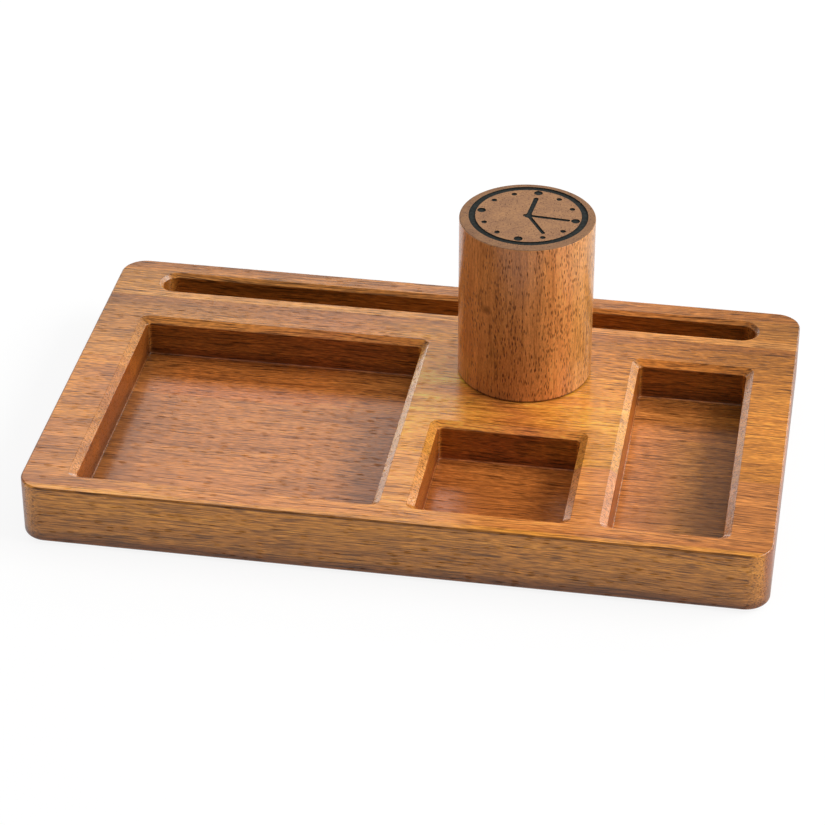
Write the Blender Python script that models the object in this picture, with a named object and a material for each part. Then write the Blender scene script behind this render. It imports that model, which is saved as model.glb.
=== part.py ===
"""Wooden desk tray with a post that holds a watch.

The tray is one panel of edge-glued staves with three pockets and a slot cut in
it. A turned post stands on it, with a dial cut into its end grain. Two screws
from below hold the post, and four thin pads lie under the tray's corners.

Lengths are in metres. +X runs along the tray, +Y to its back and +Z up. The
origin is on the surface that the pads stand on, under the tray's middle.
"""
import math

import bmesh
import bpy

# Along the tray, from its left edge to its right edge; a pocket is measured over its chamfered rim
LEFT_RAIL = 0.0181
BIG_POCKET_LENGTH = 0.1267
WALL_BESIDE_BIG = 0.0105
SMALL_POCKET_LENGTH = 0.0650
WALL_BESIDE_SMALL = 0.0114
NARROW_POCKET_LENGTH = 0.0514
RIGHT_RAIL = 0.0169
SLOT_LEFT_RAIL = 0.0189
SLOT_RIGHT_RAIL = 0.0169

# Across the tray, from its front edge to its back edge
FRONT_RAIL = 0.0107
POCKET_WIDTH = 0.1266
BRIDGE_TO_SLOT = 0.0216
SLOT_WIDTH = 0.0132
REAR_RAIL = 0.0086

# Heights of the tray
POCKET_FLOOR = 0.0087
POCKET_DEPTH = 0.0171
SLOT_FLOOR = 0.0087

# Staves of the panel
REAR_STAVE_WIDTH = 0.0301
EQUAL_STAVES = ("middle_rear_stave", "middle_front_stave", "front_stave")

# Edges and corners
TRAY_CORNER = 0.0103
TOP_ROUND = 0.0011
BOTTOM_ROUND = 0.0015
POCKET_CORNER = 0.0022
RIM_CORNER = 0.0040
POCKET_FILLET = 0.0012
RIM_CHAMFER_WIDTH = 0.0031
RIM_CHAMFER_DROP = 0.0021
SLOT_FILLET = 0.0012
SLOT_CHAMFER = 0.00165

# Watch post
POST_RADIUS = 0.0280
POST_HEIGHT = 0.0722
POST_EASE = 0.0005
POST_TO_SLOT = 0.0090
POST_TO_SMALL_POCKET = 0.0176
POST_OFF_MIDDLE = -0.0005

# Dial cut into the post's top
DIAL_DEPTH = 0.0004
DIAL_EDGE = 0.0035
DIAL_RING_WIDTH = 0.0027
DIAL_OFF_MIDDLE = (0.0002, 0.0011)
DIAL_TURN = math.radians(4.4)
HOURS = 12
HOURS_IN_QUARTER = 3
QUARTER_DOT_RADIUS = 0.0018
QUARTER_DOT_INSET = 0.00215
HOUR_DOT_RADIUS = 0.00115
HOUR_DOT_INSET = 0.00285
HUB_RADIUS = 0.0015
# Each hand: name, width, length, tail behind the hub, and turn from twelve o'clock
HANDS = (
    ("hour_hand", 0.0017, 0.0156, 0.0, math.radians(0.5)),
    ("minute_hand", 0.0011, 0.0163, 0.0, math.radians(145.5)),
    ("second_hand", 0.0009, 0.0174, 0.0024, math.radians(90.6)),
)

# Screws that hold the post
SCREW_SPREAD = 0.0280
SCREW_HEAD_RADIUS = 0.0040
SCREW_HEAD_HEIGHT = 0.0028
SCREW_HEAD_CROWN = 0.0009
SCREW_SHANK_RADIUS = 0.0017
SCREW_THREAD_RADIUS = 0.0021
SCREW_CORE_RADIUS = 0.0014
SCREW_PITCH = 0.0025
SCREW_BITE = 0.0150
SCREW_TIP = 0.0040
SCREW_TIP_RADIUS = 0.0004
COUNTERBORE_DEPTH = 0.0060
COUNTERBORE_CLEARANCE = 0.0008
CROSS_SPAN = 0.0046
CROSS_ARM = 0.0012
CROSS_DEPTH = 0.0016
CROSS_TAPER = 0.6

# Pads under the tray
PAD_RADIUS = 0.0060
PAD_THICKNESS = 0.0012
PAD_ROUND = 0.0003
PAD_INSET = 0.0150

# Clearances: pieces that touch or are glued stay this far apart, and cutters run past what they cut
SEAT_GAP = 0.0003
GLUE_LINE = 0.0003
CUT_PAST = 0.0010

# How finely round shapes are divided
CORNER_STEPS = 8
POCKET_CORNER_STEPS = 5
SLOT_END_STEPS = 8
ROUND_STEPS = 3
POST_SIDES = 72
SCREW_SIDES = 12
HOLE_SIDES = 24
PAD_SIDES = 32
DOT_SIDES = 16
THREAD_ROWS_PER_TURN = 4
MERGE_DISTANCE = 1e-7
SMOOTH_BELOW = math.radians(40)

# Colours as linear values, with roughness and metallic
FINISHES = {
    "acacia_light": ((0.40, 0.19, 0.080), 0.45, 0.0),
    "acacia_gold": ((0.36, 0.15, 0.050), 0.45, 0.0),
    "acacia_red": ((0.30, 0.11, 0.040), 0.45, 0.0),
    "acacia_brown": ((0.27, 0.11, 0.038), 0.45, 0.0),
    "post_acacia": ((0.32, 0.11, 0.035), 0.40, 0.0),
    "zinc_steel": ((0.60, 0.58, 0.54), 0.35, 1.0),
    "pad_rubber": ((0.030, 0.030, 0.032), 0.80, 0.0),
}

# Worked out from the sizes above
TRAY_LENGTH = (LEFT_RAIL + BIG_POCKET_LENGTH + WALL_BESIDE_BIG + SMALL_POCKET_LENGTH
               + WALL_BESIDE_SMALL + NARROW_POCKET_LENGTH + RIGHT_RAIL)
SLOT_RIM_WIDTH = SLOT_WIDTH + 2 * SLOT_CHAMFER
TRAY_WIDTH = FRONT_RAIL + POCKET_WIDTH + BRIDGE_TO_SLOT + SLOT_RIM_WIDTH + REAR_RAIL
TRAY_HEIGHT = POCKET_FLOOR + POCKET_DEPTH
TRAY_BOTTOM = PAD_THICKNESS + SEAT_GAP
TRAY_TOP = TRAY_BOTTOM + TRAY_HEIGHT

TRAY_X = (-TRAY_LENGTH / 2, TRAY_LENGTH / 2)
TRAY_Y = (-TRAY_WIDTH / 2, TRAY_WIDTH / 2)

BIG_POCKET_X = (TRAY_X[0] + LEFT_RAIL, TRAY_X[0] + LEFT_RAIL + BIG_POCKET_LENGTH)
SMALL_POCKET_X = (BIG_POCKET_X[1] + WALL_BESIDE_BIG,
                  BIG_POCKET_X[1] + WALL_BESIDE_BIG + SMALL_POCKET_LENGTH)
NARROW_POCKET_X = (TRAY_X[1] - RIGHT_RAIL - NARROW_POCKET_LENGTH, TRAY_X[1] - RIGHT_RAIL)
POCKET_Y = (TRAY_Y[0] + FRONT_RAIL, TRAY_Y[0] + FRONT_RAIL + POCKET_WIDTH)
SLOT_X = (TRAY_X[0] + SLOT_LEFT_RAIL, TRAY_X[1] - SLOT_RIGHT_RAIL)
SLOT_Y = (POCKET_Y[1] + BRIDGE_TO_SLOT, POCKET_Y[1] + BRIDGE_TO_SLOT + SLOT_RIM_WIDTH)

POST_X = (SMALL_POCKET_X[0] + SMALL_POCKET_X[1]) / 2 + POST_OFF_MIDDLE
POST_Y = SLOT_Y[0] - POST_TO_SLOT - POST_RADIUS
POST_BOTTOM = TRAY_TOP + SEAT_GAP
POST_TOP = POST_BOTTOM + POST_HEIGHT
SMALL_POCKET_Y = (POCKET_Y[0], POST_Y - POST_RADIUS - POST_TO_SMALL_POCKET)

DIAL_RING_OUTER = POST_RADIUS - DIAL_EDGE
DIAL_RING_INNER = DIAL_RING_OUTER - DIAL_RING_WIDTH

SCREW_SEAT = TRAY_BOTTOM + COUNTERBORE_DEPTH
SCREW_BEARING = SCREW_SEAT - SEAT_GAP
SCREW_TIP_TOP = POST_BOTTOM + SCREW_BITE


def clear_scene():
    """Remove every object, so that the script can run more than once."""
    for item in list(bpy.data.objects):
        bpy.data.objects.remove(item, do_unlink=True)


def make_material(finish):
    """A plain Principled material in one of the finishes."""
    colour, roughness, metallic = FINISHES[finish]
    material = bpy.data.materials.new(finish)
    material.use_nodes = True
    shader = material.node_tree.nodes["Principled BSDF"]
    shader.inputs["Base Color"].default_value = (*colour, 1.0)
    shader.inputs["Roughness"].default_value = roughness
    shader.inputs["Metallic"].default_value = metallic
    material.diffuse_color = (*colour, 1.0)
    return material


def add_object(name, shape, material=None):
    """Turn a bmesh into an object, smooth where its faces meet at a small angle."""
    bmesh.ops.remove_doubles(shape, verts=shape.verts, dist=MERGE_DISTANCE)
    bmesh.ops.recalc_face_normals(shape, faces=shape.faces)
    mesh = bpy.data.meshes.new(name)
    shape.to_mesh(mesh)
    shape.free()
    mesh.shade_smooth()
    mesh.set_sharp_from_angle(angle=SMOOTH_BELOW)
    if material:
        mesh.materials.append(material)
    item = bpy.data.objects.new(name, mesh)
    bpy.context.scene.collection.objects.link(item)
    return item


def make_cutter(item):
    """Mark an object as a cutter: it shapes others and isn't part of the model."""
    item.hide_render = True
    item.display_type = "WIRE"
    return item


def cut(item, cutter, operation="DIFFERENCE"):
    """Cut an object with another by a live Boolean modifier."""
    modifier = item.modifiers.new(cutter.name, "BOOLEAN")
    modifier.operation = operation
    modifier.solver = "EXACT"
    modifier.object = cutter


def rectangle_outline(x_range, y_range, radius, steps):
    """Points round a rectangle with round corners, anticlockwise seen from above."""
    radius = min(radius, (x_range[1] - x_range[0]) / 2, (y_range[1] - y_range[0]) / 2)
    corners = (
        (x_range[1] - radius, y_range[0] + radius, -90),
        (x_range[1] - radius, y_range[1] - radius, 0),
        (x_range[0] + radius, y_range[1] - radius, 90),
        (x_range[0] + radius, y_range[0] + radius, 180),
    )
    points = []
    for centre_x, centre_y, start in corners:
        for step in range(steps + 1):
            angle = math.radians(start + 90 * step / steps)
            points.append((centre_x + radius * math.cos(angle), centre_y + radius * math.sin(angle)))
    return points


def inset_outline(x_range, y_range, radius, inset, steps):
    """The same rectangle drawn in by an inset, with its corners drawn in too."""
    x_inset = (x_range[0] + inset, x_range[1] - inset)
    y_inset = (y_range[0] + inset, y_range[1] - inset)
    return rectangle_outline(x_inset, y_inset, max(radius - inset, SEAT_GAP), steps)


def circle_outline(radius, sides):
    """Points round a circle about the origin, anticlockwise."""
    angles = [2 * math.pi * side / sides for side in range(sides)]
    return [(radius * math.cos(angle), radius * math.sin(angle)) for angle in angles]


def stacked_shape(levels):
    """A closed shape through outlines one above the other, each given with its height."""
    shape = bmesh.new()
    rings = [[shape.verts.new((x, y, z)) for x, y in outline] for outline, z in levels]
    for lower, upper in zip(rings, rings[1:]):
        for i in range(len(lower)):
            j = (i + 1) % len(lower)
            shape.faces.new((lower[i], lower[j], upper[j], upper[i]))
    shape.faces.new(list(reversed(rings[0])))
    shape.faces.new(rings[-1])
    return shape


def turned_shape(profile, sides):
    """A closed shape turned about Z from a profile of radii and heights, bottom first."""
    return stacked_shape([(circle_outline(radius, sides), z) for radius, z in profile])


def ring_shape(inner, outer, bottom, top, sides):
    """A flat ring with square edges about Z."""
    shape = bmesh.new()
    loops = [
        [shape.verts.new((x, y, z)) for x, y in circle_outline(radius, sides)]
        for radius, z in ((inner, bottom), (outer, bottom), (outer, top), (inner, top))
    ]
    for first, second in zip(loops, loops[1:] + loops[:1]):
        for i in range(sides):
            j = (i + 1) % sides
            shape.faces.new((first[i], first[j], second[j], second[i]))
    return shape


def quarter_round(radius):
    """Insets and rises of a rounded edge, from its flat face to its side wall."""
    angles = [math.pi / 2 * step / ROUND_STEPS for step in range(ROUND_STEPS + 1)]
    return [(radius * (1 - math.sin(angle)), radius * (1 - math.cos(angle))) for angle in angles]


def tray_panel_shape():
    """The whole panel before it is cut: round corners, a softer edge below than above."""
    levels = [(inset, TRAY_BOTTOM + rise) for inset, rise in quarter_round(BOTTOM_ROUND)]
    levels += [(inset, TRAY_TOP - rise) for inset, rise in reversed(quarter_round(TOP_ROUND))]
    return stacked_shape([
        (inset_outline(TRAY_X, TRAY_Y, TRAY_CORNER, inset, CORNER_STEPS), z) for inset, z in levels
    ])


def pocket_cutter(name, x_range, y_range, corners, floor, fillet, chamfer, steps):
    """What a pocket takes out: filleted floor, straight walls and a chamfered rim.

    The corners are the radii of the walls and of the rim, seen from above.
    """
    wall_corner, rim_corner = corners
    chamfer_width, chamfer_drop = chamfer
    floor_z = TRAY_BOTTOM + floor
    levels = [
        (chamfer_width + inset, max(wall_corner - inset, SEAT_GAP), floor_z + rise)
        for inset, rise in quarter_round(fillet)
    ]
    levels += [
        (chamfer_width, wall_corner, TRAY_TOP - chamfer_drop),
        (0.0, rim_corner, TRAY_TOP),
        (0.0, rim_corner, TRAY_TOP + CUT_PAST),
    ]
    shape = stacked_shape([
        (inset_outline(x_range, y_range, corner + inset, inset, steps), z) for inset, corner, z in levels
    ])
    return make_cutter(add_object(name, shape))


def build_tray_cutters():
    """The three pockets and the slot for a telephone or pens."""
    rim = (RIM_CHAMFER_WIDTH, RIM_CHAMFER_DROP)
    pockets = (
        ("big_pocket", BIG_POCKET_X, POCKET_Y),
        ("small_pocket", SMALL_POCKET_X, SMALL_POCKET_Y),
        ("narrow_pocket", NARROW_POCKET_X, POCKET_Y),
    )
    cutters = [
        pocket_cutter(name, x_range, y_range, (POCKET_CORNER, RIM_CORNER), POCKET_FLOOR, POCKET_FILLET,
                      rim, POCKET_CORNER_STEPS)
        for name, x_range, y_range in pockets
    ]
    slot_corners = (SLOT_WIDTH / 2, SLOT_RIM_WIDTH / 2)
    cutters.append(pocket_cutter("slot", SLOT_X, SLOT_Y, slot_corners, SLOT_FLOOR, SLOT_FILLET,
                                 (SLOT_CHAMFER, SLOT_CHAMFER), SLOT_END_STEPS))
    return cutters


def screw_places():
    """Where the two screws stand, side by side under the post."""
    return [(POST_X + side * SCREW_SPREAD / 2, POST_Y) for side in (-1, 1)]


def build_screw_holes():
    """Counterbored holes through the tray and on into the post."""
    counterbore = SCREW_HEAD_RADIUS + COUNTERBORE_CLEARANCE
    bore = SCREW_THREAD_RADIUS + SEAT_GAP
    profile = (
        (counterbore, TRAY_BOTTOM - CUT_PAST),
        (counterbore, SCREW_SEAT),
        (bore, SCREW_SEAT),
        (bore, SCREW_TIP_TOP + SEAT_GAP),
    )
    holes = []
    for number, (x, y) in enumerate(screw_places(), start=1):
        hole = make_cutter(add_object(f"screw_hole_{number}", turned_shape(profile, HOLE_SIDES)))
        hole.location = (x, y, 0.0)
        holes.append(hole)
    return holes


def stave_ranges():
    """Each stave's name, finish and extent across the tray, from the back to the front."""
    finishes = ("acacia_gold", "acacia_red", "acacia_brown")
    staves = [("rear_stave", "acacia_light", TRAY_Y[1] - REAR_STAVE_WIDTH, TRAY_Y[1])]
    width = (TRAY_WIDTH - REAR_STAVE_WIDTH) / len(EQUAL_STAVES)
    back = TRAY_Y[1] - REAR_STAVE_WIDTH
    for name, finish in zip(EQUAL_STAVES, finishes):
        staves.append((name, finish, back - width, back))
        back -= width
    return staves


def build_staves(cutters):
    """The panel's staves, each cut from the same panel and parted along the glue lines."""
    for name, finish, front, back in stave_ranges():
        stave = add_object(name, tray_panel_shape(), make_material(finish))
        y_low = front + GLUE_LINE / 2 if front > TRAY_Y[0] + GLUE_LINE else front - CUT_PAST
        y_high = back - GLUE_LINE / 2 if back < TRAY_Y[1] - GLUE_LINE else back + CUT_PAST
        x_range = (TRAY_X[0] - CUT_PAST, TRAY_X[1] + CUT_PAST)
        corners = rectangle_outline(x_range, (y_low, y_high), 0.0, 1)
        slab = stacked_shape([(corners, TRAY_BOTTOM - CUT_PAST), (corners, TRAY_TOP + CUT_PAST)])
        cut(stave, make_cutter(add_object(f"{name}_slab", slab)), "INTERSECT")
        for cutter in cutters:
            cut(stave, cutter)


def place_on_dial(item, radius, turn):
    """Put a dial mark at a radius and a turn clockwise from twelve o'clock."""
    angle = DIAL_TURN + turn
    item.location = (POST_X + DIAL_OFF_MIDDLE[0] + radius * math.sin(angle),
                     POST_Y + DIAL_OFF_MIDDLE[1] + radius * math.cos(angle), 0.0)
    item.rotation_euler = (0.0, 0.0, -angle)


def hand_shape(width, length, tail, levels):
    """A straight hand along +Y with round ends, from behind the hub to its tip."""
    outline = rectangle_outline((-width / 2, width / 2), (-tail, length), width / 2, DOT_SIDES // 4)
    return stacked_shape([(outline, z) for z in levels])


def build_dial_cutters():
    """The ring, the hour dots and the hands that are cut into the post's top."""
    levels = (POST_TOP - DIAL_DEPTH, POST_TOP + CUT_PAST)
    ring = add_object("dial_ring", ring_shape(DIAL_RING_INNER, DIAL_RING_OUTER, *levels, POST_SIDES))
    place_on_dial(ring, 0.0, 0.0)
    cutters = [ring]
    for hour in range(HOURS):
        quarter = hour % HOURS_IN_QUARTER == 0
        radius = QUARTER_DOT_RADIUS if quarter else HOUR_DOT_RADIUS
        inset = QUARTER_DOT_INSET if quarter else HOUR_DOT_INSET
        shape = turned_shape([(radius, z) for z in levels], DOT_SIDES)
        dot = add_object(f"dial_dot_{hour or HOURS}", shape)
        place_on_dial(dot, DIAL_RING_INNER - inset, 2 * math.pi * hour / HOURS)
        cutters.append(dot)
    hub = add_object("dial_hub", turned_shape([(HUB_RADIUS, z) for z in levels], DOT_SIDES))
    place_on_dial(hub, 0.0, 0.0)
    for name, width, length, tail, turn in HANDS:
        hand = add_object(f"dial_{name}", hand_shape(width, length, max(tail, width / 2), levels))
        place_on_dial(hand, 0.0, turn)
        cut(hub, make_cutter(hand), "UNION")
    cutters.append(hub)
    return [make_cutter(cutter) for cutter in cutters]


def build_post(cutters):
    """The turned post with its edges eased."""
    profile = (
        (POST_RADIUS - POST_EASE, POST_BOTTOM),
        (POST_RADIUS, POST_BOTTOM + POST_EASE),
        (POST_RADIUS, POST_TOP - POST_EASE),
        (POST_RADIUS - POST_EASE, POST_TOP),
    )
    post = add_object("watch_post", turned_shape(profile, POST_SIDES), make_material("post_acacia"))
    post.location = (POST_X, POST_Y, 0.0)
    for cutter in cutters:
        cut(post, cutter)


def thread_radius(turn, rise, length):
    """Radius of the threaded shaft at a turn and a rise, with the thread run out at both ends."""
    phase = (rise / SCREW_PITCH - turn) % 1.0
    ridge = 1 - abs(2 * phase - 1)
    run_out = min(1.0, rise / SCREW_PITCH, (length - rise) / SCREW_TIP)
    core = SCREW_TIP_RADIUS + (SCREW_CORE_RADIUS - SCREW_TIP_RADIUS) * min(1.0, (length - rise) / SCREW_TIP)
    return core + (SCREW_THREAD_RADIUS - SCREW_CORE_RADIUS) * ridge * max(run_out, 0.0)


def screw_shape():
    """One pan-head wood screw, head down, with its thread as a helical ridge."""
    head_bottom = SCREW_BEARING - SCREW_HEAD_HEIGHT
    profile = (
        (SCREW_HEAD_RADIUS - SCREW_HEAD_CROWN, head_bottom),
        (SCREW_HEAD_RADIUS, head_bottom + SCREW_HEAD_CROWN),
        (SCREW_HEAD_RADIUS, SCREW_BEARING),
        (SCREW_SHANK_RADIUS, SCREW_BEARING),
        (SCREW_SHANK_RADIUS, POST_BOTTOM),
    )
    levels = [(circle_outline(radius, SCREW_SIDES), z) for radius, z in profile]
    length = SCREW_TIP_TOP - POST_BOTTOM
    rows = max(2, round(length / SCREW_PITCH * THREAD_ROWS_PER_TURN))
    for row in range(1, rows + 1):
        rise = length * row / rows
        outline = []
        for side in range(SCREW_SIDES):
            turn = side / SCREW_SIDES
            radius = thread_radius(turn, rise, length)
            outline.append((radius * math.cos(2 * math.pi * turn), radius * math.sin(2 * math.pi * turn)))
        levels.append((outline, POST_BOTTOM + rise))
    return stacked_shape(levels)


def cross_outline(scale):
    """A cross with square arms, anticlockwise."""
    arm = CROSS_ARM / 2 * scale
    reach = CROSS_SPAN / 2 * scale
    quarter = ((reach, -arm), (reach, arm), (arm, arm))
    points = []
    for turn in range(4):
        cosine, sine = round(math.cos(math.pi / 2 * turn)), round(math.sin(math.pi / 2 * turn))
        points += [(x * cosine - y * sine, x * sine + y * cosine) for x, y in quarter]
    return points


def build_screws():
    """The two screws, each with a cross recess in its head."""
    material = make_material("zinc_steel")
    head_bottom = SCREW_BEARING - SCREW_HEAD_HEIGHT
    recess_levels = [
        (cross_outline(1.0), head_bottom - CUT_PAST),
        (cross_outline(1.0), head_bottom),
        (cross_outline(CROSS_TAPER), head_bottom + CROSS_DEPTH),
    ]
    for side, (x, y) in zip(("left", "right"), screw_places()):
        screw = add_object(f"post_screw_{side}", screw_shape(), material)
        recess = make_cutter(add_object(f"screw_recess_{side}", stacked_shape(recess_levels)))
        cut(screw, recess)
        for item in (screw, recess):
            item.location = (x, y, 0.0)


def build_pads():
    """Four round pads, one near each corner of the tray."""
    material = make_material("pad_rubber")
    profile = [
        (PAD_RADIUS - PAD_ROUND, 0.0),
        (PAD_RADIUS, PAD_ROUND),
        (PAD_RADIUS, PAD_THICKNESS - PAD_ROUND),
        (PAD_RADIUS - PAD_ROUND, PAD_THICKNESS),
    ]
    for depth_word, y in (("front", TRAY_Y[0] + PAD_INSET), ("rear", TRAY_Y[1] - PAD_INSET)):
        for side_word, x in (("left", TRAY_X[0] + PAD_INSET), ("right", TRAY_X[1] - PAD_INSET)):
            pad = add_object(f"foot_pad_{depth_word}_{side_word}", turned_shape(profile, PAD_SIDES), material)
            pad.location = (x, y, 0.0)


def main():
    """Build the whole stand."""
    clear_scene()
    screw_holes = build_screw_holes()
    build_staves(build_tray_cutters() + screw_holes)
    build_post(build_dial_cutters() + screw_holes)
    build_screws()
    build_pads()


main()
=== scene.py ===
"""Looks of a wooden desk tray with a post that holds a watch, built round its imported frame.

Each stave of the glued panel, the turned post, the screws and the pads are modelled finely in place of
their plain solids. All the wood is one solid acacia texture, laid out along each piece's own grain, so
that faces along the grain show pores as dashes and faces across it show them as dots.
"""

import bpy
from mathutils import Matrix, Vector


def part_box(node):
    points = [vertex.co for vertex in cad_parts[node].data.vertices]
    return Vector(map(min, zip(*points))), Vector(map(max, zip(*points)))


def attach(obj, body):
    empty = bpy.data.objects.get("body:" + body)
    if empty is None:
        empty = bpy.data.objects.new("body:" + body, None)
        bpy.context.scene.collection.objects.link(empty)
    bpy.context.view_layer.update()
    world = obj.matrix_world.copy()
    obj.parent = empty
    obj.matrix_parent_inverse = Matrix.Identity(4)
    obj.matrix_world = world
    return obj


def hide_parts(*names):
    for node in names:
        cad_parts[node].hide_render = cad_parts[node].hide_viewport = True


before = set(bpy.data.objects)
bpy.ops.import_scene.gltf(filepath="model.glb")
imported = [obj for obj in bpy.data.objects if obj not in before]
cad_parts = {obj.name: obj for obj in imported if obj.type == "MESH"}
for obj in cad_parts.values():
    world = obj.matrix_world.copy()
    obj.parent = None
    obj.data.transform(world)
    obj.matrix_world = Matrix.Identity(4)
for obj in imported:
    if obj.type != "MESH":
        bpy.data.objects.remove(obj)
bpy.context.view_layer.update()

import functools
import math

import bmesh
import bpy
from bpy.props import FloatProperty, FloatVectorProperty, PointerProperty
from bpy.types import Operator, Panel, PropertyGroup
from mathutils import Vector

bl_info = {
    "name": "Watch stand",
    "version": (1, 0, 0),
    "blender": (4, 5, 0),
    "location": "3D View > Sidebar > Watch stand",
    "description": "Dresses the packed frame of a wooden tray with a watch post",
    "category": "Object",
}

MM = 0.001

# Pieces of the frame, the staves from back to front with their material slots, and what is read from them
STAVES = {"rear_stave": "stave_tan", "middle_rear_stave": "stave_gold",
          "middle_front_stave": "stave_red", "front_stave": "stave_brown"}
SCREWS = ("post_screw_left", "post_screw_right")
PADS = ("foot_pad_front_left", "foot_pad_front_right", "foot_pad_rear_left", "foot_pad_rear_right")
TRAY_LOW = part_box("front_stave")[0]
TRAY_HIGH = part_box("rear_stave")[1]
POST_LOW, POST_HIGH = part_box("watch_post")
POST_MIDDLE = ((POST_LOW.x + POST_HIGH.x) / 2, (POST_LOW.y + POST_HIGH.y) / 2)
POST_RADIUS = (POST_HIGH.x - POST_LOW.x) / 2

# Pockets and slot over their rims: lowest and highest x, then lowest and highest y
POCKETS = {
    "big_pocket": (-131.9 * MM, -5.2 * MM, -81.35 * MM, 45.25 * MM),
    "small_pocket": (5.3 * MM, 70.3 * MM, -81.35 * MM, -15.75 * MM),
    "narrow_pocket": (81.7 * MM, 133.1 * MM, -81.35 * MM, 45.25 * MM),
}
SLOT = (-131.1 * MM, 133.1 * MM, 66.85 * MM, 83.35 * MM)
FLOOR_THICKNESS = 8.7 * MM
TRAY_CORNER = 10.3 * MM
BOTTOM_ROUND = 1.5 * MM
POCKET_CORNER = 2.2 * MM
RIM_CORNER = 4.0 * MM
POCKET_FILLET = 0.8 * MM
RIM_CHAMFER = (3.1 * MM, 2.1 * MM)
SLOT_CHAMFER = (1.65 * MM, 1.65 * MM)
WALL_EDGE_ROUND = 0.5 * MM
RIM_EDGE_ROUND = 0.5 * MM
RUN_OUT_SLOPE = math.radians(7)
CUT_PAST = 1.0 * MM
LEAST_CORNER = 0.1 * MM

# Width of each glue line in front of a stave; the hindmost joins unlike boards and shows most
GLUE_LINES = {"rear_stave": 0.10 * MM, "middle_rear_stave": 0.03 * MM, "middle_front_stave": 0.03 * MM}
# Half of the gap that the frame keeps between staves, whose middle is the seam
HALF_FRAME_GAP = 0.15 * MM

# Dial cut into the post's top
POST_EASE = 0.5 * MM
DIAL_DEPTH = 0.4 * MM
DIAL_RING = (21.8 * MM, 24.5 * MM)
DIAL_OFF_MIDDLE = (0.2 * MM, 1.1 * MM)
DIAL_TURN = math.radians(4.4)
HOURS = 12
QUARTER_DOT = (1.8 * MM, 2.15 * MM)
HOUR_DOT = (1.15 * MM, 2.85 * MM)
HUB_RADIUS = 1.75 * MM
# Each hand: width, length, tail behind the hub, and turn from twelve o'clock
HANDS = (
    (2.0 * MM, 15.6 * MM, 0.9 * MM, math.radians(0.5)),
    (1.6 * MM, 16.3 * MM, 0.8 * MM, math.radians(145.5)),
    (1.7 * MM, 17.4 * MM, 2.4 * MM, math.radians(90.6)),
)

# How far burnt marks keep from the post's top and edge, and how far down end grain reaches round the edge
MARK_TOLERANCE = 0.01 * MM
MARK_EDGE_MARGIN = 0.5 * MM
END_GRAIN_DEPTH = 0.15 * MM

# Screws under the post and the holes they stand in
SCREW_HEAD_HEIGHT = 2.8 * MM
SCREW_HEAD_CROWN = 0.9 * MM
SCREW_SHANK_RADIUS = 1.7 * MM
SCREW_CORE_RADIUS = 1.4 * MM
SCREW_THREAD_RADIUS = 2.1 * MM
SCREW_PITCH = 2.5 * MM
THREAD_STEEPNESS = 2.2
SCREW_TIP = 4.0 * MM
SCREW_TIP_RADIUS = 0.4 * MM
SCREW_THREAD_LENGTH = 15.0 * MM
COUNTERBORE_RADIUS = 4.8 * MM
COUNTERBORE_DEPTH = 6.0 * MM
BORE_RADIUS = 2.4 * MM
BORE_CLEARANCE = 0.3 * MM
CROSS_SPAN = 4.6 * MM
CROSS_ARM = 1.2 * MM
CROSS_DEPTH = 1.6 * MM
CROSS_TAPER = 0.6
PAD_ROUND = 0.35 * MM

# How finely round shapes are divided
CORNER_STEPS = 18
POCKET_STEPS = 10
ARC_STEPS = 7
POST_SIDES = 256
DOT_SIDES = 40
SCREW_SIDES = 32
THREAD_ROWS_PER_TURN = 10
PAD_SIDES = 64
SHARP_ABOVE = math.radians(35)

# Camera, from the photograph's perspective
CAMERA_PLACE = (0.17181, -1.04662, 0.70322)
CAMERA_TURN = (math.radians(57.2007), math.radians(0.0257), math.radians(9.5918))
CAMERA_LENS = 132.227
CAMERA_SENSOR = 36.0


def linear(hex_colour):
    """Turn a colour such as #C08040 into linear red, green and blue."""
    parts = [int(hex_colour[i:i + 2], 16) / 255 for i in (1, 3, 5)]
    return tuple(p / 12.92 if p <= 0.04045 else ((p + 0.055) / 1.055) ** 2.4 for p in parts)


def add_node(tree, kind, inputs=(), **settings):
    """Add a shader node and give back its outputs.

    Inputs are given in the node's order, or by name or number in a dictionary. Each is a value or another
    node's output.
    """
    node = tree.nodes.new("ShaderNode" + kind)
    for name, value in settings.items():
        setattr(node, name, value)
    for key, value in inputs.items() if isinstance(inputs, dict) else enumerate(inputs):
        if isinstance(value, bpy.types.NodeSocket):
            tree.links.new(value, node.inputs[key])
        else:
            node.inputs[key].default_value = value
    return node.outputs


def empty_material(name):
    """A material with no nodes yet, and the function that adds them."""
    material = bpy.data.materials.new(name)
    material.use_nodes = True
    material.node_tree.nodes.clear()
    return material, functools.partial(add_node, material.node_tree)


def solid(hex_colour):
    """A colour in the form that a node's colour input takes."""
    return (*linear(hex_colour), 1.0)


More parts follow.
